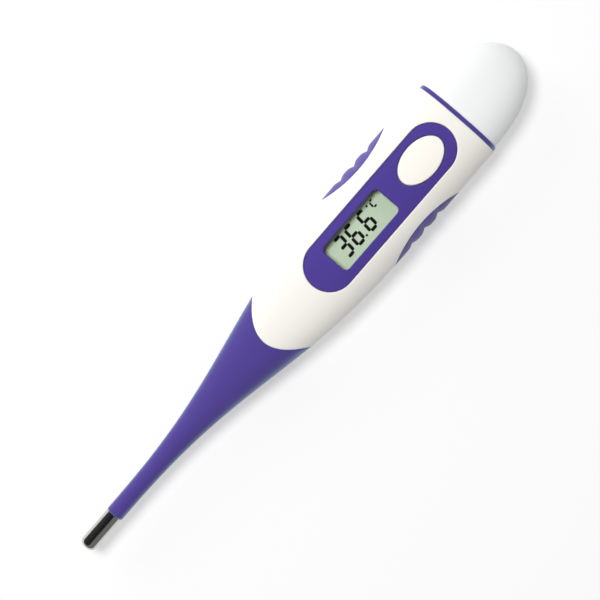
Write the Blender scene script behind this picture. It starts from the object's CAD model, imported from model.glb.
import math

import bmesh
import bpy
from mathutils import Matrix, Vector


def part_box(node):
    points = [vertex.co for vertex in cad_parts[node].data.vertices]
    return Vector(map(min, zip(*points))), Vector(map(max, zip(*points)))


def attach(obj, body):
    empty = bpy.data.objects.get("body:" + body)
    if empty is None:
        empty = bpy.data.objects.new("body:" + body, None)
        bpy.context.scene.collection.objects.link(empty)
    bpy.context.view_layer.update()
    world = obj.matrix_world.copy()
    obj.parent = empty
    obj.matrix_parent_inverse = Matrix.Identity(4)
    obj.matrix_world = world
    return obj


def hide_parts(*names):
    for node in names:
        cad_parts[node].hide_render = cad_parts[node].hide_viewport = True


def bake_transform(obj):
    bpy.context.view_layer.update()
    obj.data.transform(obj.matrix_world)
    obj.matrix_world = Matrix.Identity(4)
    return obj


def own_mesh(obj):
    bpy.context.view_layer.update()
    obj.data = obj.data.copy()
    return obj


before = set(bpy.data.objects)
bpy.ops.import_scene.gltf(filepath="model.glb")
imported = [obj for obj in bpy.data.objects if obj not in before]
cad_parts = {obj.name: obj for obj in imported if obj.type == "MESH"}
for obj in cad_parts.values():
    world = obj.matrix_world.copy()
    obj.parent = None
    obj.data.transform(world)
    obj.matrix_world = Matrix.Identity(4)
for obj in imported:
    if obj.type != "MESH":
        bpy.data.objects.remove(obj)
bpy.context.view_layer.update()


# Studio -----------------------------------------------------------------------
# A sheet of white card, a camera that looks down on it from arm's length, and two soft lamps on the side that the
# digits point up to: one high overhead, one low and wide. A black flag on that side is seen only in reflections.
# Lengths in this section are metres, except a finish's grain and bump.

HEADING = math.radians(49.1)
CAMERA_ABOVE = 0.400
CAMERA_ALONG = 0.010
VIEW_ACROSS = 0.1187
CARD_GLOW, ROOM_LEVEL = 0.5, 0.2
FLAG_RADIUS, FLAG_AWAY, FLAG_LEAN = 0.78, 0.5, math.radians(38)
MM = 0.001
tip_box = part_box("probe_cap")
AXIS_Z = (tip_box[0][2] + tip_box[1][2]) / 2

upward = Vector((math.sin(HEADING), math.cos(HEADING), 0))
aim = Vector((0, 0, AXIS_Z))
camera_data = bpy.data.cameras.new("camera")
camera_data.sensor_width = 36
camera_data.lens = 36 * CAMERA_ABOVE / VIEW_ACROSS
camera_data.clip_start, camera_data.clip_end = 0.01, 10
camera = bpy.data.objects.new("camera", camera_data)
bpy.context.collection.objects.link(camera)
camera.location = aim + Vector((CAMERA_ALONG, 0, CAMERA_ABOVE))
backward = (camera.location - aim).normalized()
sideways = upward.cross(backward).normalized()
camera.rotation_euler = Matrix((sideways, backward.cross(sideways), backward)).transposed().to_euler()
bpy.context.scene.camera = camera


def lamp(name, place, size, power):
    """A round lamp that is aimed at the object and stays out of its reflections."""
    data = bpy.data.lights.new(name, "AREA")
    data.shape, data.size, data.energy = "DISK", size, power
    thing = bpy.data.objects.new(name, data)
    bpy.context.collection.objects.link(thing)
    thing.location = place
    thing.rotation_euler = (-Vector(place)).to_track_quat("-Z", "Y").to_euler()
    thing.visible_glossy = False


lamp("high_light", (-0.03, 0.20, 0.64), 0.24, 3.8)
lamp("side_light", (-0.05, 0.75, 0.30), 0.60, 2.0)

world = bpy.data.worlds.new("room")
bpy.context.scene.world = world
world.use_nodes = True
room = world.node_tree.nodes["Background"]
room.inputs["Color"].default_value = (1.0, 1.0, 1.0, 1)
seen_room = world.node_tree.nodes.new("ShaderNodeLightPath")
room_level = world.node_tree.nodes.new("ShaderNodeMapRange")
room_level.inputs["To Min"].default_value = ROOM_LEVEL
room_level.inputs["To Max"].default_value = 1.0
world.node_tree.links.new(seen_room.outputs["Is Camera Ray"], room_level.inputs["Value"])
world.node_tree.links.new(room_level.outputs["Result"], room.inputs["Strength"])
bpy.context.scene.view_settings.view_transform = "Standard"

flag_paint = bpy.data.materials.new("black_flag")
flag_paint.use_nodes = True
flag_paint.node_tree.nodes["Principled BSDF"].inputs["Base Color"].default_value = (0.02, 0.022, 0.018, 1)
flag_bm = bmesh.new()
bmesh.ops.create_circle(flag_bm, cap_ends=True, segments=48, radius=FLAG_RADIUS)
flag_way = Vector((-0.1, math.sin(FLAG_LEAN), math.cos(FLAG_LEAN)))
flag_turn = flag_way.to_track_quat("-Z", "Y").to_matrix().to_4x4()
bmesh.ops.transform(flag_bm, matrix=Matrix.Translation(flag_way * FLAG_AWAY) @ flag_turn, verts=flag_bm.verts)
flag_mesh = bpy.data.meshes.new("black_flag")
flag_bm.to_mesh(flag_mesh)
flag_mesh.materials.append(flag_paint)
flag = bpy.data.objects.new("black_flag", flag_mesh)
bpy.context.collection.objects.link(flag)
flag.visible_camera = flag.visible_diffuse = flag.visible_shadow = flag.visible_transmission = False


def moulded(name, colour, roughness, grain=0.35, bump=0.03, mottle=0.03, sheen=0.0, metal=0.0, coat=0.0,
            shine=0.5):
    """A moulded or drawn surface: fine grain in its relief, and a faint unevenness in its colour and gloss."""
    material = bpy.data.materials.new(name)
    material.use_nodes = True
    nodes, links = material.node_tree.nodes, material.node_tree.links
    shader = nodes["Principled BSDF"]
    where = nodes.new("ShaderNodeTexCoord")
    fine, broad = nodes.new("ShaderNodeTexNoise"), nodes.new("ShaderNodeTexNoise")
    for noise, size, detail in ((fine, grain, 3), (broad, 7, 2)):
        noise.inputs["Scale"].default_value = 1 / (size * MM)
        noise.inputs["Detail"].default_value = detail
        links.new(where.outputs["Object"], noise.inputs["Vector"])
    tint = nodes.new("ShaderNodeMix")
    tint.data_type = "RGBA"
    tint.inputs["A"].default_value = colour
    tint.inputs["B"].default_value = tuple(c * (1 - mottle * 2) for c in colour[:3]) + (1,)
    links.new(broad.outputs["Fac"], tint.inputs["Factor"])
    links.new(tint.outputs["Result"], shader.inputs["Base Color"])
    gloss = nodes.new("ShaderNodeMapRange")
    gloss.inputs["To Min"].default_value = roughness * 0.85
    gloss.inputs["To Max"].default_value = min(roughness * 1.15, 1)
    links.new(fine.outputs["Fac"], gloss.inputs["Value"])
    links.new(gloss.outputs["Result"], shader.inputs["Roughness"])
    relief = nodes.new("ShaderNodeBump")
    relief.inputs["Strength"].default_value = 0.6
    relief.inputs["Distance"].default_value = bump * MM
    links.new(fine.outputs["Fac"], relief.inputs["Height"])
    links.new(relief.outputs["Normal"], shader.inputs["Normal"])
    for socket, value in (("Metallic", metal), ("Sheen Weight", sheen), ("Sheen Roughness", 0.45),
                          ("Sheen Tint", (0.6, 0.85, 1, 1)), ("Coat Weight", coat), ("Coat Roughness", 0.12),
                          ("Specular IOR Level", shine)):
        shader.inputs[socket].default_value = value
    return material


card = moulded("white_card", (0.94, 0.94, 0.94, 1), 0.9, 0.5, 0.0, 0.0)
card_nodes, card_links = card.node_tree.nodes, card.node_tree.links
glow = card_nodes.new("ShaderNodeEmission")
seen = card_nodes.new("ShaderNodeLightPath")
share = card_nodes.new("ShaderNodeMath")
share.operation = "MULTIPLY"
share.inputs[1].default_value = CARD_GLOW
blend_card = card_nodes.new("ShaderNodeMixShader")
card_links.new(seen.outputs["Is Camera Ray"], share.inputs[0])
card_links.new(share.outputs["Value"], blend_card.inputs["Fac"])
card_links.new(card_nodes["Principled BSDF"].outputs["BSDF"], blend_card.inputs[1])
card_links.new(glow.outputs["Emission"], blend_card.inputs[2])
card_links.new(blend_card.outputs["Shader"], card_nodes["Material Output"].inputs["Surface"])
sheet = bmesh.new()
bmesh.ops.create_grid(sheet, x_segments=1, y_segments=1, size=1.5)
floor_mesh = bpy.data.meshes.new("floor")
sheet.to_mesh(floor_mesh)
floor = bpy.data.objects.new("floor", floor_mesh)
floor_mesh.materials.append(card)
bpy.context.collection.objects.link(floor)


# White shell ------------------------------------------------------------------
# One gloss-white ABS moulding, open at the rear. Its front holds a stadium-shaped seat for the display panel and
# its sides hold pockets for the rubber grips. A thinner nose runs on under the rubber of the stem.

# From here on lengths are millimetres. A station is a distance from the steel tip's end, y runs across to the side
# that the digits point up to, and heights are counted from the long axis.
TIP_X = tip_box[0][0]
shell_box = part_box("housing")


def station_of(x):
    return (x - TIP_X) / MM


STEEL_END = station_of(tip_box[1][0])
MOUTH = station_of(shell_box[1][0])
NOSE = MOUTH - 57.8
FLARE_END = MOUTH - 16.9
HALF_WIDTH = 9.78
HALF_THICK = 6.06
STEM_RADIUS = 1.83
BACK = -AXIS_Z / MM
NOSE_CURL, CURL_REACH = 0.09, 11
TURNS = 160
SEAT_TURNS = 18
SEAT_FRONT, SEAT_REAR = MOUTH - 43.2, MOUTH - 2.8
SEAT_HALF = 5.25
SIDE_WALL, FRONT_WALL, NOSE_WALL = 2.4, 1.9, 2.3
TAPER_START, TAPER_LEN = 3, 9
LAP_END, LAP_DEPTH = MOUTH - 65.5, 1.2
GRIP_MID, GRIP_HALF, GRIP_DEPTH = MOUTH - 20.0, 9.6, 1.65
GRIP_FRONT = 9.48
GRIP_ARC = GRIP_HALF ** 2 / (2 * GRIP_DEPTH) + GRIP_DEPTH / 2
GRIP_TURNS = (21, 59)
SHELL_EDGE = 0.22


def outer(station):
    """Half width, half thickness and squareness of the outer form."""
    along = min(max((station - STEEL_END) / (FLARE_END - STEEL_END), 0), 1)
    grown = 1 - (1 - along ** 2.717) ** 4.97
    return (STEM_RADIUS + (HALF_WIDTH - STEM_RADIUS) * grown, STEM_RADIUS + (HALF_THICK - STEM_RADIUS) * grown,
            2 + 0.5 * grown)


def round_point(station, turn, wide, thick, power):
    """A point of a superellipse. Turn 0 is the top, and turns go towards the side that the digits point up to."""
    angle = 2 * math.pi * turn / TURNS
    side, top = math.sin(angle), math.cos(angle)
    return Vector((station, math.copysign(abs(side) ** (2 / power), side) * wide,
                   math.copysign(abs(top) ** (2 / power), top) * thick))


def skin_point(station, turn, inset=0.0):
    """A point of the outer form, sunk by inset, with the flat on its back."""
    wide, thick, power = outer(station)
    point = round_point(station, turn, wide - inset, thick - inset, power)
    point.z = max(point.z, BACK + inset)
    return point


def skin_height(station, y, inset=0.0):
    """Height of the front of the outer form over a place in plan."""
    wide, thick, power = outer(station)
    return (thick - inset) * (1 - min(abs(y) / (wide - inset), 1) ** power) ** (1 / power)


def skin_reach(station, z, inset=0.0):
    """How far the side of the outer form stands out at a height."""
    wide, thick, power = outer(station)
    return (wide - inset) * (1 - min(abs(z) / (thick - inset), 1) ** power) ** (1 / power)


def first_loop(bm, places):
    """A closed loop of edges through places."""
    loop = bmesh.ops.create_circle(bm, segments=len(places), radius=1)["verts"]
    for vert, place in zip(loop, places):
        vert.co = place
    return loop


def loop_edges(bm, loop):
    """The edges of a closed loop of vertices."""
    return [bm.edges.get((a, b)) for a, b in zip(loop, loop[1:] + loop[:1])]


def fill_ends(bm, *ends):
    """Closes a form with a face on each of the loops at its ends."""
    for end in ends:
        bmesh.ops.contextual_create(bm, geom=loop_edges(bm, end))


def extend(bm, loop, places):
    """Extrudes a closed loop and moves the new loop to its places."""
    made = bmesh.ops.extrude_edge_only(bm, edges=loop_edges(bm, loop))["geom"]
    fresh = {part for part in made if isinstance(part, bmesh.types.BMVert)}
    ahead = [next(e.other_vert(v) for e in v.link_edges if e.other_vert(v) in fresh) for v in loop]
    for vert, place in zip(ahead, places):
        vert.co = place
    return ahead


def cut_patch(bm, rows, row_a, row_b, turn_a, turn_b):
    """Opens a patch of a lofted skin and returns its rim: front end, far side, rear end and near side."""
    turns = [t % TURNS for t in range(turn_a, turn_b + 1)]
    faces = []
    for row in range(row_a, row_b):
        for turn in range(turn_a, turn_b):
            corners = (rows[row][turn % TURNS], rows[row][(turn + 1) % TURNS], rows[row + 1][(turn + 1) % TURNS],
                       rows[row + 1][turn % TURNS])
            faces.append(next(f for f in corners[0].link_faces if all(c in f.verts for c in corners)))
    front = [rows[row_a][t] for t in turns]
    far = [rows[row][turns[-1]] for row in range(row_a, row_b + 1)]
    rear = [rows[row_b][t] for t in reversed(turns)]
    near = [rows[row][turns[0]] for row in range(row_b, row_a - 1, -1)]
    rim = front[:-1] + far[:-1] + rear[:-1] + near[:-1]
    bmesh.ops.delete(bm, geom=faces, context="FACES")
    return rim, [len(front) - 1, len(far) - 1, len(rear) - 1, len(near) - 1]


def stadium(counts, x0, x1, half, grow=0.0):
    """Points round a stadium in plan: front end, far side, rear end and near side."""
    radius = half + grow
    front_hub, rear_hub = x0 + half, x1 - half
    places = []
    for n in range(counts[0]):
        angle = math.pi * n / counts[0]
        places.append((front_hub - radius * math.sin(angle), -radius * math.cos(angle)))
    for n in range(counts[1]):
        places.append((front_hub + (rear_hub - front_hub) * n / counts[1], radius))
    for n in range(counts[2]):
        angle = math.pi * n / counts[2]
        places.append((rear_hub + radius * math.sin(angle), radius * math.cos(angle)))
    for n in range(counts[3]):
        places.append((rear_hub + (front_hub - rear_hub) * n / counts[3], -radius))
    return places


def grip_half_height(station):
    """Half the height of a grip's outline, where the pocket's curved floor meets the skin, and the floor's reach."""
    floor = HALF_WIDTH - GRIP_DEPTH + GRIP_ARC - math.sqrt(GRIP_ARC ** 2 - (station - GRIP_MID) ** 2)
    wide, thick, power = outer(station)
    return thick * max(1 - (floor / wide) ** power, 0) ** (1 / power), floor


def grip_reach(share):
    """A station from the grip's front end at -1, through its middle, to its rear end at 1."""
    return GRIP_MID + share * (GRIP_FRONT if share < 0 else GRIP_HALF)


def grip_outline(counts):
    """Points round a grip's outline, seen from the side, in the order that cut_patch gives a side patch's rim."""
    places = []
    for part, (a, b) in enumerate(((0.25, -0.25), (-0.25, -0.75), (-0.75, -1.25), (-1.25, -1.75))):
        for n in range(counts[part]):
            angle = math.pi * (a + (b - a) * n / counts[part])
            x = grip_reach(-math.cos(angle))
            places.append((x, math.copysign(grip_half_height(x)[0], math.sin(angle))))
    return places


def settle(bm, name, body, material, sharp=35):
    """Turns a finished mesh into a piece in the frame: metres, at its place, with its body, slot and material."""
    bmesh.ops.remove_doubles(bm, verts=bm.verts, dist=1e-4)
    bmesh.ops.recalc_face_normals(bm, faces=bm.faces)
    bmesh.ops.transform(bm, matrix=Matrix.Translation((TIP_X, 0, AXIS_Z)) @ Matrix.Scale(MM, 4), verts=bm.verts)
    mesh = bpy.data.meshes.new(name)
    bm.to_mesh(mesh)
    bm.free()
    mesh.shade_smooth()
    mesh.set_sharp_from_angle(angle=math.radians(sharp))
    mesh.materials.append(material)
    piece = bpy.data.objects.new(name, mesh)
    bpy.context.collection.objects.link(piece)
    if body:
        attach(piece, body)
    return piece


def cavity_point(station, turn):
    """A point of the hollow that the carrier slides in, which narrows into the nose."""
    wide, thick, power = outer(station)
    share = min(max((station - NOSE - TAPER_START) / TAPER_LEN, 0), 1)
    side = NOSE_WALL + (SIDE_WALL - NOSE_WALL) * share
    top = NOSE_WALL + (FRONT_WALL - NOSE_WALL) * share
    return round_point(station, turn, wide - side, thick - top, 2 + 2 * share)


def cavity_height(station, y):
    """Height of the hollow's front over a place in plan."""
    wide, thick, power = outer(station)
    return (thick - FRONT_WALL) * (1 - min(abs(y) / (wide - SIDE_WALL), 1) ** 4) ** 0.25


def front_edge(turn, base, inset=0.0):
    """A point of the skin near the shell's curled front edge. The curl dies out away from it."""
    fade = max(0.0, 1 - abs(base - NOSE) / CURL_REACH)
    station = base
    for _ in range(8):
        station = base + NOSE_CURL * fade * skin_point(station, turn).y ** 2
    return skin_point(station, turn, inset)


patch_front, patch_rear = SEAT_FRONT - 2.2, SEAT_REAR + 1.5
bases = [NOSE + 0.14]
bases += [NOSE + 0.5 * n for n in range(1, int((patch_front - NOSE) / 0.5))]
bases += [patch_front + (patch_rear - patch_front) * n / 90 for n in range(91)]
bases += [MOUTH - 0.9, MOUTH - SHELL_EDGE - 0.12]

shell = bmesh.new()
nose_rim = [front_edge(t, NOSE, 0.14) for t in range(TURNS)]
loop = first_loop(shell, nose_rim)
loop = extend(shell, loop, [front_edge(t, NOSE + 0.04, 0.04) for t in range(TURNS)])
skin_rows = []
for base in bases:
    loop = extend(shell, loop, [front_edge(t, base) for t in range(TURNS)])
    skin_rows.append(loop)
for step in range(5):
    lean = math.radians(22.5 * step)
    loop = extend(shell, loop, [skin_point(MOUTH - SHELL_EDGE + SHELL_EDGE * math.sin(lean), t,
                                           SHELL_EDGE * (1 - math.cos(lean))) for t in range(TURNS)])
loop = extend(shell, loop, [cavity_point(MOUTH, t) for t in range(TURNS)])
cavity_rows = {}
for number in range(len(bases) - 3, -1, -1):
    loop = extend(shell, loop, [cavity_point(bases[number], t) for t in range(TURNS)])
    cavity_rows[number] = loop
for step in range(1, 9):
    station = NOSE + (LAP_END - NOSE) * step / 8
    loop = extend(shell, loop, [cavity_point(station, t) for t in range(TURNS)])
for step in range(9):
    share = step / 8
    loop = extend(shell, loop, [
        skin_point(LAP_END, t, LAP_DEPTH).lerp(front_edge(t, NOSE, LAP_DEPTH), share) if step in (0, 8)
        else skin_point(LAP_END + (front_edge(t, NOSE).x - LAP_END) * share, t, LAP_DEPTH) for t in range(TURNS)])
extend(shell, loop, nose_rim)


def row_near(station):
    """The number of the row of the skin that lies nearest to a station."""
    return min(range(len(bases)), key=lambda n: abs(bases[n] - station))


row_a, row_b = row_near(patch_front), row_near(patch_rear)
seat_rim, seat_counts = cut_patch(shell, skin_rows, row_a, row_b, -SEAT_TURNS, SEAT_TURNS)
start = [v.co.copy() for v in seat_rim]
around = stadium(seat_counts, SEAT_FRONT, SEAT_REAR, SEAT_HALF, SHELL_EDGE)
for step in range(1, 7):
    plan = [(p.x + (q[0] - p.x) * step / 6, p.y + (q[1] - p.y) * step / 6) for p, q in zip(start, around)]
    seat_rim = extend(shell, seat_rim, [Vector((x, y, skin_height(x, y))) for x, y in plan])
for step in range(1, 5):
    lean = math.radians(22.5 * step)
    plan = stadium(seat_counts, SEAT_FRONT, SEAT_REAR, SEAT_HALF, SHELL_EDGE * (1 - math.sin(lean)))
    seat_rim = extend(shell, seat_rim, [Vector((x, y, skin_height(x, y) - SHELL_EDGE * (1 - math.cos(lean))))
                                        for x, y in plan])
wall_foot = [Vector((x, y, cavity_height(x, y))) for x, y in plan]
extend(shell, seat_rim, wall_foot)
extend(shell, cut_patch(shell, cavity_rows, row_a, row_b, -SEAT_TURNS, SEAT_TURNS)[0], wall_foot)

POCKET_EDGE, POCKET_DROP = 0.12, 0.3
GRIP_HALF_TALL = 4.1


def grip_ring(counts, grow, side, sink=None, shrink=1.0):
    """A ring round a grip's outline, on the skin or, with sink, on the pocket's curved floor."""
    places = []
    for x, z in grip_outline(counts):
        x = GRIP_MID + (x - GRIP_MID) * (1 + grow / GRIP_HALF) * shrink
        z = z * (1 + grow / GRIP_HALF_TALL) * shrink * side
        y = skin_reach(x, z) if sink is None else grip_half_height(x)[1] - sink
        places.append(Vector((x, y * side, z)))
    return places


row_a, row_b = row_near(GRIP_MID - GRIP_HALF - 1.3), row_near(GRIP_MID + GRIP_HALF + 1.3)
for side in (1, -1):
    turns = GRIP_TURNS if side > 0 else (-GRIP_TURNS[1], -GRIP_TURNS[0])
    rim, counts = cut_patch(shell, skin_rows, row_a, row_b, *turns)
    start, target = [v.co.copy() for v in rim], grip_ring(counts, POCKET_EDGE, side)
    for step in range(1, 5):
        places = [p.lerp(q, step / 4) for p, q in zip(start, target)]
        rim = extend(shell, rim, [Vector((p.x, skin_reach(p.x, p.z) * side, p.z)) for p in places])
    for step in range(1, 4):
        lean = math.radians(30 * step)
        ring = grip_ring(counts, POCKET_EDGE * (1 - math.sin(lean)), side)
        rim = extend(shell, rim, [Vector((p.x, p.y - side * POCKET_EDGE * (1 - math.cos(lean)), p.z)) for p in ring])
    rim = extend(shell, rim, grip_ring(counts, 0, side, POCKET_DROP))
    for shrink in (0.75, 0.5, 0.25, 0.08):
        rim = extend(shell, rim, grip_ring(counts, 0, side, POCKET_DROP, shrink))
    fill_ends(shell, rim)


def srgb(red, green, blue):
    """A colour given as it is seen, 0 to 255 a channel, in the linear values that a shader takes."""
    return tuple(((c / 255 + 0.055) / 1.055) ** 2.4 if c > 10 else c / 255 / 12.92 for c in (red, green, blue)) + (1,)


white_abs = moulded("white_abs", srgb(243, 240, 233), 0.30, 0.25, 0.006, 0.01, coat=0.15)
shell = settle(shell, "white_shell", "hand_piece", white_abs)
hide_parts("housing")


# Grips ------------------------------------------------------------------------
# Two inlays of soft purple rubber, moulded into the pockets in the shell's sides and flush with it. Three finger
# valleys run across each, so that the thermometer doesn't slip from the hand.

VALLEYS = ((GRIP_MID - 4.0, 0.40), (GRIP_MID - 0.1, 0.55), (GRIP_MID + 3.85, 0.55))
VALLEY_HALF = 1.45
INLAY_EDGE, INLAY_FILL = 0.25, 0.995
INLAY_LOWEST, INLAY_LIFT = 0.24, 0.02
grip_rubber = moulded("grip_rubber", srgb(94, 84, 160), 0.55, 0.12, 0.012, 0.04, sheen=0.10)


def valley_depth(station):
    """How deep the finger valleys are at a station."""
    deep = 0.0
    for middle, depth in VALLEYS:
        away = abs(station - middle) / VALLEY_HALF
        deep += depth * (1 - away) ** 1.5 if away < 1 else 0.0
    return deep


def grip_piece(name, side):
    """One inlay: a grid laid on the skin, with its valleys pressed in, and a back just off the pocket's floor."""
    bm = bmesh.new()
    front = bmesh.ops.create_grid(bm, x_segments=150, y_segments=36, size=1)["verts"]
    for vert in front:
        station = grip_reach(math.sin(vert.co.x * math.pi / 2))
        across = math.sin(vert.co.y * math.pi / 2)
        tall, floor = grip_half_height(station)
        z = tall * across * INLAY_FILL
        rim = min(max((1 - abs(across)) * tall / INLAY_EDGE, 0), 1)
        drop = INLAY_EDGE * (1 - math.sqrt(1 - (1 - rim) ** 2)) + valley_depth(station) * (1 - across ** 6)
        vert.co = Vector((station, side * max(skin_reach(station, z) - drop, floor - INLAY_LOWEST), z))
    bmesh.ops.remove_doubles(bm, verts=bm.verts, dist=1e-4)
    back = bmesh.ops.duplicate(bm, geom=bm.verts[:] + bm.edges[:] + bm.faces[:])["geom"]
    for part in back:
        if isinstance(part, bmesh.types.BMVert):
            part.co.y = side * (grip_half_height(part.co.x)[1] - POCKET_DROP + INLAY_LIFT)
    bmesh.ops.bridge_loops(bm, edges=[e for e in bm.edges if e.is_boundary])
    piece = settle(bm, name + "_inlay", "hand_piece", grip_rubber, 50)
    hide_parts(name)


grip_piece("left_grip", 1)
grip_piece("right_grip", -1)


# Sealing ring -----------------------------------------------------------------
# A ring of the stem's purple rubber, squeezed between the shell's rear edge and the cap, round the cap's collar. It
# keeps water out of the shell.

SEAL_LEN, SEAL_GAP = 0.9, 0.01
SEAL_HALF, SEAL_EDGE = 9.57, 0.2
purple_rubber = moulded("purple_rubber", srgb(80, 63, 143), 0.5, 0.12, 0.012, 0.04, sheen=1.0, shine=0.1)
CAP_START = MOUTH + SEAL_LEN


def seal_loop(station, inset):
    """Points round the outside of the ring, sunk by inset."""
    return [round_point(station, t, SEAL_HALF - inset, SEAL_HALF - inset - HALF_WIDTH + HALF_THICK, 2.5)
            for t in range(TURNS)]


def bore_loop(station, inset=0.0):
    """Points round the hollow at the shell's mouth, drawn in by inset."""
    wide, thick, power = outer(MOUTH)
    return [round_point(station, t, wide - SIDE_WALL - inset, thick - FRONT_WALL - inset, 4) for t in range(TURNS)]


seal = bmesh.new()
loop = first_loop(seal, bore_loop(MOUTH + SEAL_GAP))
for step in range(4):
    lean = math.radians(30 * step)
    loop = extend(seal, loop, seal_loop(MOUTH + SEAL_GAP + SEAL_EDGE * (1 - math.cos(lean)),
                                        SEAL_EDGE * (1 - math.sin(lean))))
for step in range(4):
    lean = math.radians(90 - 30 * step)
    loop = extend(seal, loop, seal_loop(CAP_START - SEAL_GAP - SEAL_EDGE * (1 - math.cos(lean)),
                                        SEAL_EDGE * (1 - math.sin(lean))))
loop = extend(seal, loop, bore_loop(CAP_START - SEAL_GAP))
extend(seal, loop, bore_loop(MOUTH + SEAL_GAP))
seal = settle(seal, "sealing_ring", "hand_piece", purple_rubber)
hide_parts("seal_ring")


# Battery cap ------------------------------------------------------------------
# A white ABS dome, moulded in one with a collar that is a push fit in the shell's mouth. It is hollow, with an even
# wall, and pulls straight off when the battery is changed.

CAP_LEN = 17.1
CAP_HALF, CAP_HALF_THICK = 9.27, 5.5
CAP_WALL, CAP_EDGE = 1.3, 0.16
COLLAR_LEN, COLLAR_GAP, COLLAR_WALL, COLLAR_EDGE = 3.6, 0.08, 0.8, 0.2


def dome_loop(start, length, wide, thick, share):
    """One section of a blunt dome, at a share of the quarter turn from its foot to its tip."""
    along = math.sin(math.pi / 2 * share)
    left = (1 - along ** 2.4) ** (1 / 2.1)
    return [round_point(start + length * along, t, wide * left, thick * left, 2 + 0.5 * left) for t in range(TURNS)]


cap = bmesh.new()
loop = first_loop(cap, dome_loop(CAP_START, CAP_LEN, CAP_HALF, CAP_HALF_THICK, 0.992))
tip_loop = loop
for step in range(39, 2, -1):
    loop = extend(cap, loop, dome_loop(CAP_START, CAP_LEN, CAP_HALF, CAP_HALF_THICK, step / 40))
for step in range(4):
    lean = math.radians(30 * step)
    inset = CAP_EDGE * (1 - math.cos(lean))
    loop = extend(cap, loop, [round_point(CAP_START + CAP_EDGE * (1 - math.sin(lean)), t, CAP_HALF - inset,
                                          CAP_HALF_THICK - inset, 2.5) for t in range(TURNS)])
loop = extend(cap, loop, bore_loop(CAP_START, COLLAR_GAP))
loop = extend(cap, loop, bore_loop(MOUTH - COLLAR_LEN + COLLAR_EDGE, COLLAR_GAP))
loop = extend(cap, loop, bore_loop(MOUTH - COLLAR_LEN, COLLAR_GAP + COLLAR_EDGE))
loop = extend(cap, loop, bore_loop(MOUTH - COLLAR_LEN, COLLAR_GAP + COLLAR_WALL))
loop = extend(cap, loop, bore_loop(CAP_START + CAP_WALL, COLLAR_GAP + COLLAR_WALL))
hollow = (CAP_START + CAP_WALL, CAP_LEN - 2 * CAP_WALL, CAP_HALF - CAP_WALL, CAP_HALF_THICK - CAP_WALL)
for step in range(16):
    loop = extend(cap, loop, dome_loop(*hollow, step / 16))
fill_ends(cap, tip_loop, loop)
cap_white = moulded("cap_white", srgb(240, 242, 241), 0.32, 0.25, 0.006, 0.01, coat=0.15)
cap = settle(cap, "cap_shell", "cap", cap_white)
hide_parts("battery_cap")


# Display panel and deck -------------------------------------------------------
# The panel is a satin purple plate that follows the crown of the shell, a little below it. It has a window for the
# display and an oval hole for the button. The deck under it is part of the shell and carries the lens and button.

WINDOW_MID, WINDOW_LEN, WINDOW_WIDE, WINDOW_CORNER = MOUTH - 28.75, 16.1, 6.5, 1.0
BUTTON_MID, BUTTON_LEN, BUTTON_WIDE = MOUTH - 10.9, 11.2, 7.15
PANEL_SINK, PANEL_EDGE, PANEL_GAP, BUTTON_GAP = 0.25, 0.14, 0.05, 0.12
PLATE_SPLIT = (WINDOW_MID + WINDOW_LEN / 2 + BUTTON_MID - BUTTON_LEN / 2) / 2
DECK_TOP, DECK_THICK, DECK_EDGE, DECK_GAP, DECK_SHORT = 4.65, 1.15, 0.1, 0.02, 1.2
LENS_SEAT, BUTTON_SEAT = 1.06, 0.87
END_STEPS, WINDOW_STEPS, BUTTON_STEPS = 28, 36, 22


def along_run(run, share):
    """The point at a share of a run's length. A run is a list of points and arcs (hub x, hub y, radius, from, to)."""
    lengths = [abs(p[4] - p[3]) * p[2] if len(p) == 5 else math.dist(p[:2], p[2:]) for p in run]
    left = share * sum(lengths)
    for part, length in zip(run, lengths):
        if left <= length or part is run[-1]:
            f = left / length if length else 0
            if len(part) == 5:
                angle = part[3] + (part[4] - part[3]) * f
                return part[0] + part[2] * math.cos(angle), part[1] + part[2] * math.sin(angle)
            return part[0] + (part[2] - part[0]) * f, part[1] + (part[3] - part[1]) * f
        left -= length


def trace(runs, counts):
    """Points spaced evenly along each of a list of runs."""
    return [along_run(run, n / count) for run, count in zip(runs, counts) for n in range(count)]


def rounded_runs(x0, x1, half, corner):
    """Four runs round a rounded rectangle, rear end first, each from the middle of a corner to the next."""
    q = math.pi / 4
    a, b, c, d = (x1 - corner, -half + corner), (x1 - corner, half - corner), (x0 + corner, half - corner), (
        x0 + corner, -half + corner)
    return [[(*a, corner, -q, 0), (x1, a[1], x1, b[1]), (*b, corner, 0, q)],
            [(*b, corner, q, 2 * q), (b[0], half, c[0], half), (*c, corner, 2 * q, 3 * q)],
            [(*c, corner, 3 * q, 4 * q), (x0, c[1], x0, d[1]), (*d, corner, 4 * q, 5 * q)],
            [(*d, corner, 5 * q, 6 * q), (d[0], -half, a[0], -half), (*a, corner, 6 * q, 7 * q)]]


def window_ring(grow, length=WINDOW_LEN, wide=WINDOW_WIDE, corner=WINDOW_CORNER):
    """Points round the window, or a rectangle of another size about its middle, rear end first."""
    runs = rounded_runs(WINDOW_MID - length / 2 - grow, WINDOW_MID + length / 2 + grow, wide / 2 + grow, corner + grow)
    return trace(runs, (END_STEPS, WINDOW_STEPS, END_STEPS, WINDOW_STEPS))


def button_ring(grow):
    """Points round the button's oval, front quarter first."""
    counts = (END_STEPS, BUTTON_STEPS, END_STEPS, BUTTON_STEPS)
    places = []
    for quarter, count in enumerate(counts):
        for n in range(count):
            angle = math.pi * (0.75 + (quarter + n / count) / 2)
            places.append((BUTTON_MID + (BUTTON_LEN / 2 + grow) * math.cos(angle),
                           (BUTTON_WIDE / 2 + grow) * math.sin(angle)))
    return places


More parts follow.
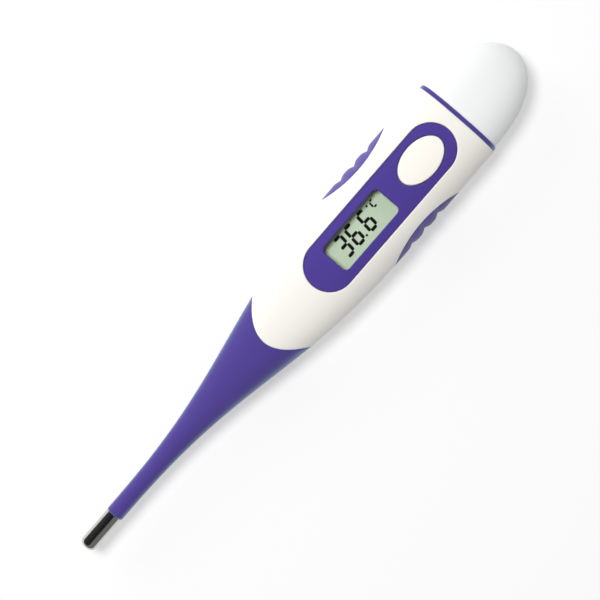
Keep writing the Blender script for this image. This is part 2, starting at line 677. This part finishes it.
def plate(face, foot, edge, x0, x1, half, window, button):
    """A stadium-shaped plate with two holes, rounded over at its top edges. face gives the height of its front."""
    bm = bmesh.new()
    inner = half - edge
    front_hub, rear_hub = x0 + half, x1 - half
    up, down = math.pi / 2, -math.pi / 2
    front_part = [[(PLATE_SPLIT, -inner, PLATE_SPLIT, inner)], [(PLATE_SPLIT, inner, front_hub, inner)],
                  [(front_hub, 0, inner, up, 3 * up)], [(front_hub, -inner, PLATE_SPLIT, -inner)]]
    rear_part = [[(PLATE_SPLIT, inner, PLATE_SPLIT, -inner)], [(PLATE_SPLIT, -inner, rear_hub, -inner)],
                 [(rear_hub, 0, inner, down, up)], [(rear_hub, inner, PLATE_SPLIT, inner)]]
    for hole, runs, steps in ((window, front_part, WINDOW_STEPS), (button, rear_part, BUTTON_STEPS)):
        rim = trace(runs, (END_STEPS, steps, END_STEPS, steps))
        loop = first_loop(bm, [Vector((x, y, face(x, y))) for x, y in hole])
        for step in range(1, 8):
            plan = [(p[0] + (q[0] - p[0]) * step / 7, p[1] + (q[1] - p[1]) * step / 7) for p, q in zip(hole, rim)]
            loop = extend(bm, loop, [Vector((x, y, face(x, y))) for x, y in plan])
    bmesh.ops.remove_doubles(bm, verts=bm.verts, dist=1e-4)
    top = bm.verts[:] + bm.edges[:] + bm.faces[:]
    rims = open_rims(bm)
    for part in bmesh.ops.duplicate(bm, geom=top)["geom"]:
        if isinstance(part, bmesh.types.BMVert):
            part.co.z = foot
    for rim in rims:
        places = [v.co.copy() for v in rim]
        away = outward(places)
        if max(p.x for p in places) - min(p.x for p in places) < (x1 - x0) * 0.7:
            away = [-n for n in away]
        loop = rim
        for step in range(1, 5):
            lean = math.radians(22.5 * step)
            loop = extend(bm, loop, [p + n * edge * math.sin(lean) - Vector((0, 0, edge * (1 - math.cos(lean))))
                                     for p, n in zip(places, away)])
        loop = extend(bm, loop, [Vector((p.x + n.x * edge, p.y + n.y * edge, foot)) for p, n in zip(places, away)])
        extend(bm, loop, [Vector((p.x, p.y, foot)) for p in places])
    return bm


def open_rims(bm):
    """Every open rim, as a loop of vertices in order."""
    left = dict.fromkeys(v for e in bm.edges if e.is_boundary for v in e.verts)
    rims = []
    while left:
        rim = [left.popitem()[0]]
        while True:
            ahead = [e.other_vert(rim[-1]) for e in rim[-1].link_edges if e.is_boundary]
            ahead = [v for v in ahead if v in left]
            if not ahead:
                break
            rim.append(ahead[0])
            del left[ahead[0]]
        rims.append(rim)
    return rims


def outward(places):
    """Unit vectors in plan that point out of a closed outline at each of its points."""
    turns = sum(a.x * b.y - b.x * a.y for a, b in zip(places, places[1:] + places[:1]))
    way = 1 if turns > 0 else -1
    found = []
    for before, after in zip(places[-1:] + places[:-1], places[1:] + places[:1]):
        ahead = (after - before).to_2d().normalized() * way
        found.append(Vector((ahead.y, -ahead.x, 0)))
    return found


panel = plate(lambda x, y: skin_height(x, y, PANEL_SINK), DECK_TOP, PANEL_EDGE, SEAT_FRONT + PANEL_GAP,
              SEAT_REAR - PANEL_GAP, SEAT_HALF - PANEL_GAP, window_ring(PANEL_EDGE),
              button_ring(BUTTON_GAP + PANEL_EDGE))
panel_purple = moulded("panel_purple", srgb(78, 62, 146), 0.55, 0.10, 0.010, 0.04, shine=0.25)
panel = settle(panel, "panel_plate", "hand_piece", panel_purple)
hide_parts("display_panel")
deck = plate(lambda x, y: DECK_TOP - 0.01, DECK_TOP - DECK_THICK, DECK_EDGE, SEAT_FRONT + DECK_GAP,
             SEAT_REAR - DECK_SHORT, SEAT_HALF - DECK_GAP, window_ring(LENS_SEAT), button_ring(BUTTON_SEAT))
settle(deck, "deck_plate", "hand_piece", white_abs)


# Lens -------------------------------------------------------------------------
# A clear block of moulded acrylic, held in the window from behind by a flange that the panel hides. Its face lies a
# little below the panel's.

LENS_EDGE, LENS_FACE, LENS_GAP = 0.12, DECK_TOP + 0.8, 0.05
LENS_SHOULDER, LENS_FOOT = DECK_TOP - 0.02, DECK_TOP - 0.5


def lens_loop(grow, z, *size):
    return [Vector((x, y, z)) for x, y in window_ring(grow, *size)]


lens = bmesh.new()
face_loop = first_loop(lens, lens_loop(-LENS_GAP - LENS_EDGE, LENS_FACE))
loop = face_loop
for step in range(1, 4):
    lean = math.radians(30 * step)
    loop = extend(lens, loop, lens_loop(-LENS_GAP - LENS_EDGE * (1 - math.sin(lean)),
                                        LENS_FACE - LENS_EDGE * (1 - math.cos(lean))))
flange = (WINDOW_LEN + 2.0, WINDOW_WIDE + 2.0, 0.5)
loop = extend(lens, loop, lens_loop(-LENS_GAP, LENS_SHOULDER))
loop = extend(lens, loop, lens_loop(0, LENS_SHOULDER, *flange))
loop = extend(lens, loop, lens_loop(0, LENS_FOOT, *flange))
fill_ends(lens, face_loop, loop)
clear_acrylic = moulded("clear_acrylic", (0.05, 0.06, 0.055, 1), 0.06, 1.0, 0.001, 0.0)
clear_acrylic.node_tree.nodes["Principled BSDF"].inputs["Alpha"].default_value = 0.03
lens = settle(lens, "window_pane", "hand_piece", clear_acrylic)
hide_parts("window_lens")


# Button -----------------------------------------------------------------------
# A cream plastic oval, slightly domed, moulded in one with a flange that keeps it under the panel and a plunger that
# stands over the switch.

BUTTON_EDGE = 0.24
FLANGE_TOP, FLANGE_THICK, FLANGE_OUT = DECK_TOP - 0.06, 0.3, 0.75
PLUNGER = 2.2


def button_loop(grow, drop=0.0, z=None):
    """Points round the button, on its domed face lowered by drop, or at the height z."""
    places = []
    for x, y in button_ring(grow):
        away = ((x - BUTTON_MID) / BUTTON_LEN * 2) ** 2 + (y / BUTTON_WIDE * 2) ** 2
        crown = skin_height(x, y, 0.05) - 0.10 * away - drop
        places.append(Vector((x, y, crown if z is None else z)))
    return places


button = bmesh.new()
face_loop = first_loop(button, button_loop(-3.2))
loop = face_loop
for grow in (-2.8, -2.4, -2.0, -1.6, -1.2, -0.8, -0.55):
    loop = extend(button, loop, button_loop(grow))
for step in range(7):
    lean = math.radians(15 * step)
    loop = extend(button, loop, button_loop(-BUTTON_EDGE * (1 - math.sin(lean)), BUTTON_EDGE * (1 - math.cos(lean))))
loop = extend(button, loop, button_loop(0, z=FLANGE_TOP))
loop = extend(button, loop, button_loop(FLANGE_OUT, z=FLANGE_TOP))
loop = extend(button, loop, button_loop(FLANGE_OUT, z=FLANGE_TOP - FLANGE_THICK))
for z in (FLANGE_TOP - FLANGE_THICK, DECK_TOP - DECK_THICK + 0.02):
    loop = extend(button, loop, [Vector((BUTTON_MID, 0, z)) + (Vector((x, y, 0)) - Vector((BUTTON_MID, 0, 0))
                                 ).normalized() * PLUNGER for x, y in button_ring(0)])
fill_ends(button, face_loop, loop)
button_cream = moulded("button_cream", srgb(250, 245, 236), 0.36, 0.2, 0.006, 0.01)
button = settle(button, "button_cap", "push_button", button_cream)
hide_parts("button")


# Flexible stem ----------------------------------------------------------------
# Soft purple rubber moulded over the shell's nose and bored for the leads. The real one is one moulding. This one is
# eight lengths that meet without a step, and each bends about one of the stem's joints.

JOINTS = [STEEL_END + 4.9 + 3.4 * n for n in range(8)]
STEM_NODES = ["stem_tip"] + ["stem_link_%d" % n for n in range(1, 8)] + ["stem_base"]
STEM_BORE, STEM_RIM, PLUG_RADIUS, PLUG_LEN = 0.65, 0.28, 1.5, 3.0
STEM_LAP, BEND_REACH = 1.18, 1.5


def bend_about(piece):
    """Lets a piece bend where the stem's joint of that number, counted from the tip, turns."""
    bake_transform(piece)


def round_loop(station, radius):
    """Points round a circle about the long axis."""
    return [round_point(station, t, radius, radius, 2) for t in range(TURNS)]


stem_seams = [STEEL_END] + [(a + b) / 2 for a, b in zip(JOINTS, JOINTS[1:])] + [NOSE - 0.13]
for number, (near, far) in enumerate(zip(stem_seams, stem_seams[1:])):
    stem = bmesh.new()
    if number == 0:
        first = loop = first_loop(stem, round_loop(near - PLUG_LEN, STEM_BORE))
        for station, radius in ((near - PLUG_LEN, PLUG_RADIUS), (near + 0.01, PLUG_RADIUS)):
            loop = extend(stem, loop, round_loop(station, radius))
        for step in range(6):
            lean = math.radians(18 * step)
            loop = extend(stem, loop, round_loop(near + 0.01 + STEM_RIM * (1 - math.cos(lean)),
                                                 STEM_RADIUS - STEM_RIM * (1 - math.sin(lean))))
        near += STEM_RIM + 0.3
    else:
        first = loop = first_loop(stem, round_loop(near, STEM_BORE))
    steps = round((far - near) / 0.3)
    for step in range(steps + 1):
        base = near + (far - near) * step / steps
        loop = extend(stem, loop, [front_edge(t, base) for t in range(TURNS)])
    if number == 7:
        for base, inset in ((NOSE - 0.05, 0.03), (NOSE - 0.02, 0.12), (NOSE - 0.02, STEM_LAP)):
            loop = extend(stem, loop, [front_edge(t, base, inset) for t in range(TURNS)])
        far = LAP_END - 0.02
        for step in range(7, -1, -1):
            loop = extend(stem, loop, [skin_point(far + (front_edge(t, NOSE).x - far) * step / 8, t, STEM_LAP)
                                       for t in range(TURNS)])
    for step in range(9):
        loop = extend(stem, loop, round_loop(far + (first[0].co.x - far) * step / 8, STEM_BORE))
    stem = settle(stem, "stem_length_%d" % (number + 1), None, purple_rubber)
    bend_about(stem)
    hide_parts(*STEM_NODES[number:number + 1 if number < 7 else 9])


# Leads ------------------------------------------------------------------------
# Two enamelled copper wires run from the temperature bead to the circuit board, through the stem's bore. Behind it
# they lie in a flat S, which opens when the carrier is drawn out.

LEAD_RADIUS, LEAD_HALF_PITCH = 0.14, 0.3
LEAD_SLACK = MOUTH - 55.0
BEAD_MID = 2.1


def lead(bm, line):
    """A round wire along a flat line of places."""
    loop = None
    for before, place, after in zip(line[:1] + line[:-1], line, line[1:] + line[-1:]):
        ahead = (after - before).normalized()
        aside = Vector((-ahead.y, ahead.x, 0))
        around = [place + (aside * math.cos(turn * math.pi / 6) + Vector((0, 0, math.sin(turn * math.pi / 6))))
                  * LEAD_RADIUS for turn in range(12)]
        if loop is None:
            first = loop = first_loop(bm, around)
        else:
            loop = extend(bm, loop, around)
    fill_ends(bm, first, loop)


enamelled_copper = moulded("enamelled_copper", srgb(184, 96, 52), 0.28, 0.2, 0.004, 0.05, metal=0.9)
lead_seams = [BEAD_MID] + stem_seams[1:-1] + [LEAD_SLACK]
for number, (near, far) in enumerate(zip(lead_seams, lead_seams[1:])):
    pair = bmesh.new()
    steps = round((far - near) / 0.4)
    for side in (1, -1):
        lead(pair, [Vector((near + (far - near) * n / steps, side * LEAD_HALF_PITCH, 0)) for n in range(steps + 1)])
    pair = settle(pair, "stem_lead_%d" % (number + 1), None, enamelled_copper)
    bend_about(pair)
    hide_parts("stem_leads")


def slack_line(side):
    """The middle line of one lead through the flat S: runs, and bends of 1 mm radius."""
    place, heading, line = Vector((LEAD_SLACK, 0, 0)), 0.0, []
    for run, turn in ((1.0, 90), (2.2, -180), (6.4, 180), (2.2, -90), (6.7, 0)):
        for n in range(int(run / 0.3) + 1):
            aside = Vector((-math.sin(heading), math.cos(heading), 0)) * side * LEAD_HALF_PITCH
            line.append(place + Vector((math.cos(heading), math.sin(heading), 0)) * n * 0.3 + aside)
        place = place + Vector((math.cos(heading), math.sin(heading), 0)) * run
        way = math.copysign(1, turn)
        hub = place + Vector((-math.sin(heading), math.cos(heading), 0)) * way
        for n in range(1, abs(turn) // 15):
            angle = heading + math.radians(15 * n) * way
            aside = Vector((-math.sin(angle), math.cos(angle), 0))
            line.append(hub - aside * way + aside * side * LEAD_HALF_PITCH)
        heading += math.radians(turn)
        place = hub - Vector((-math.sin(heading), math.cos(heading), 0)) * way if turn else place
    return line


slack = bmesh.new()
for side in (1, -1):
    lead(slack, slack_line(side))
slack = settle(slack, "slack_leads", None, enamelled_copper)
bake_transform(slack)
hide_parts("board_leads")


# Steel tip --------------------------------------------------------------------
# A thimble of drawn, polished stainless steel, pressed over the plug at the stem's end. The bead that senses the
# temperature is potted in its end.

TIP_RADIUS, TIP_CURVE, TIP_WALL = 1.75, 1.25, 0.2
thimble = bmesh.new()
first = loop = first_loop(thimble, round_loop(0, 0.12))
profile = [(TIP_CURVE * (1 - math.cos(math.radians(a))), TIP_RADIUS - TIP_CURVE * (1 - math.sin(math.radians(a))))
           for a in range(0, 91, 6)] + [(2 + n, TIP_RADIUS) for n in range(7)]
profile += [(STEEL_END - 0.05, TIP_RADIUS), (STEEL_END, TIP_RADIUS - 0.05), (STEEL_END, TIP_RADIUS - TIP_WALL + 0.02)]
inside = TIP_CURVE - TIP_WALL
profile += [(TIP_WALL + inside * (1 - math.cos(math.radians(a))), TIP_RADIUS - TIP_WALL - inside * (1 - math.sin(
    math.radians(a)))) for a in (90, 75, 60, 45, 30, 15, 0)] + [(TIP_WALL, 0.12)]
for station, radius in profile:
    loop = extend(thimble, loop, round_loop(station, radius))
fill_ends(thimble, first, loop)
drawn_steel = moulded("drawn_steel", (0.66, 0.66, 0.63, 1), 0.13, 0.08, 0.0015, 0.06, metal=1.0)
thimble = settle(thimble, "steel_thimble", "probe", drawn_steel)
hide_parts("probe_cap")


def finish_nodes(material, *names):
    """Gives CAD nodes whose shape is right their own material."""
    for name in names:
        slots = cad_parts[name].data.materials
        slots.clear()
        slots.append(material)


finish_nodes(moulded("bead_glaze", srgb(46, 46, 50), 0.25, 0.1, 0.002), "thermistor_bead")
finish_nodes(moulded("potting_resin", srgb(222, 218, 204), 0.5, 0.15, 0.004), "thermal_potting")


# Display ----------------------------------------------------------------------
# A reflective liquid crystal cell: two sheets of glass on a satin reflector, in a black holder, joined to the board
# by a strip of striped rubber. The dark segments lie in the underside of the front sheet, over a pale film that
# hides the strip.

clear_glass = moulded("cell_glass", (0.05, 0.06, 0.05, 1), 0.08, 1.0, 0.0, 0.0)
clear_glass.node_tree.nodes["Principled BSDF"].inputs["Alpha"].default_value = 0.03
finish_nodes(clear_glass, "lcd_front_glass")
satin_reflector = moulded("satin_reflector", srgb(219, 239, 210), 0.6, 0.5, 0.003, 0.07)
finish_nodes(satin_reflector, "lcd_reflector", "lcd_rear_glass")
finish_nodes(moulded("black_holder", srgb(34, 34, 37), 0.5, 0.2, 0.006), "lcd_holder")
finish_nodes(moulded("striped_rubber", srgb(226, 170, 156), 0.7, 0.1, 0.004), "zebra_strip")

DIGIT_TALL, DIGIT_WIDE, DIGIT_BASE = 4.8, 2.46, -2.05
SEGMENT, SEGMENT_GAP = 0.66, 0.16
LEAN = math.tan(math.radians(5.5))
CELL_LINE = (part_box("lcd_front_glass")[0].z - AXIS_Z) / MM + 0.05
SEGMENTS = {"top": ((0, 2), (1, 2)), "high_left": ((0, 1), (0, 2)), "high_right": ((1, 1), (1, 2)),
            "middle": ((0, 1), (1, 1)), "low_left": ((0, 0), (0, 1)), "low_right": ((1, 0), (1, 1)),
            "bottom": ((0, 0), (1, 0))}
THREE = ("top", "high_right", "middle", "low_right", "bottom")
SIX = ("top", "high_left", "middle", "low_left", "low_right", "bottom")

film = bmesh.new()
bmesh.ops.create_cube(film, size=1)
bmesh.ops.scale(film, vec=(17.6, 7.75, 0.04), verts=film.verts)
bmesh.ops.translate(film, vec=(WINDOW_MID, 0.3, CELL_LINE - 0.05), verts=film.verts)
bmesh.ops.bevel(film, geom=film.edges[:], offset=0.01, affect="EDGES", segments=2, profile=0.5, material=-1)
settle(film, "reflector_film", "electronics", satin_reflector)


def dark_patch(bm, outline):
    """A thin flat patch from an outline in plan, leaning with the digits."""
    loop = first_loop(bm, [Vector((x + (y - DIGIT_BASE) * LEAN, y, CELL_LINE + 0.03)) for x, y in outline])
    fill_ends(bm, loop, extend(bm, loop, [v.co - Vector((0, 0, 0.06)) for v in loop]))


def bar(bm, start, end, thick):
    """One segment: a straight bar with blunt round ends that stop short of its neighbours."""
    along = (end - start).normalized()
    aside = Vector((-along.y, along.x)) * thick / 2
    tip = along * thick * 0.38
    start, end = start + along * SEGMENT_GAP + tip, end - along * SEGMENT_GAP - tip
    places = []
    for hub, turn in ((end, -90), (start, 90)):
        for n in range(7):
            angle = math.radians(turn + 30 * n)
            places.append(hub + tip * math.cos(angle) + aside * math.sin(angle))
    dark_patch(bm, places)


def digit(bm, station, names):
    """One digit, from the names of its dark segments."""
    inner_wide, inner_tall = DIGIT_WIDE - SEGMENT, DIGIT_TALL - SEGMENT
    for name in names:
        ends = [Vector((station + SEGMENT / 2 + u * inner_wide, DIGIT_BASE + SEGMENT / 2 + v * inner_tall / 2))
                for u, v in SEGMENTS[name]]
        bar(bm, ends[0], ends[1], SEGMENT)


def dot(bm, station, y, size):
    """A round dot whose middle is at a place, whatever the digits' lean."""
    dark_patch(bm, [(station + size / 2 * math.cos(n * math.pi / 10) - (y - DIGIT_BASE) * LEAN,
                     y + size / 2 * math.sin(n * math.pi / 10)) for n in range(20)])


digits = bmesh.new()
for station, names in ((MOUTH - 34.75, THREE), (MOUTH - 31.63, SIX), (MOUTH - 27.97, SIX)):
    digit(digits, station, names)
dot(digits, MOUTH - 28.7, DIGIT_BASE + 0.45, 0.50)
dot(digits, MOUTH - 24.44, 2.18, 0.46)
low, high = Vector((MOUTH - 24.0, 0.93)), Vector((MOUTH - 24.0, 2.38))
for start, end in ((high, high + Vector((1.0, 0))), (low, high), (low, low + Vector((1.0, 0)))):
    bar(digits, start, end, 0.38)
dark_crystal = moulded("dark_crystal", srgb(12, 12, 14), 0.6, 0.3, 0.0, 0.0)
settle(digits, "display_segments", "electronics", dark_crystal)


# Electronics ------------------------------------------------------------------
# A green circuit board with a chip under black resin, a press switch and a buzzer, held by two screws on a grey
# tray. The tray slides in the shell's hollow and carries the button cell and its sprung contacts. A black rubber
# cushion on the switch gives way under the button.

finish_nodes(moulded("tray_grey", srgb(206, 207, 205), 0.45, 0.25, 0.008), "carrier")
finish_nodes(moulded("solder_mask", srgb(28, 96, 58), 0.30, 0.5, 0.006, 0.10, coat=0.3), "circuit_board")
finish_nodes(moulded("chip_resin", srgb(20, 20, 21), 0.4, 0.4, 0.012), "chip_blob", "chip_parts")
finish_nodes(moulded("switch_steel", srgb(196, 196, 192), 0.32, 0.12, 0.002, 0.04, metal=1.0), "tact_switch",
             "front_screw", "rear_screw", "negative_contact", "positive_contact")

dome_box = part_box("switch_dome")
dome_radius, dome_tall = (dome_box[1].x - dome_box[0].x) / 2 / MM, (dome_box[1].z - dome_box[0].z) / MM
dome_foot = Vector((station_of((dome_box[0].x + dome_box[1].x) / 2), 0, (dome_box[0].z - AXIS_Z) / MM))
dome = bmesh.new()
foot_loop = loop = None
for inset, rise in [(0, 0), (0, 0.5)] + [(0.35 * (1 - math.cos(a)), 0.5 + 0.5 * math.sin(a)) for a in (
        0.3, 0.6, 0.9, 1.2, math.pi / 2)]:
    around = [dome_foot + Vector(((dome_radius - inset) * math.cos(n * math.pi / 24),
                                  (dome_radius - inset) * math.sin(n * math.pi / 24), dome_tall * rise))
              for n in range(48)]
    loop = extend(dome, loop, around) if loop else first_loop(dome, around)
    foot_loop = foot_loop or loop
fill_ends(dome, foot_loop, loop)
dome_black = moulded("dome_black", srgb(30, 30, 32), 0.5, 0.2, 0.004)
dome = settle(dome, "switch_cushion", "electronics", dome_black)
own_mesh(dome)
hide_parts("switch_dome")
finish_nodes(moulded("buzzer_brass", srgb(206, 168, 92), 0.30, 0.2, 0.003, 0.06, metal=1.0), "buzzer_disc")
finish_nodes(moulded("silvered_ceramic", srgb(214, 212, 204), 0.42, 0.15, 0.004, 0.04), "buzzer_ceramic")
finish_nodes(enamelled_copper, "buzzer_wires")
finish_nodes(moulded("cell_steel", srgb(214, 214, 210), 0.22, 0.10, 0.0015, 0.05, metal=1.0), "battery")
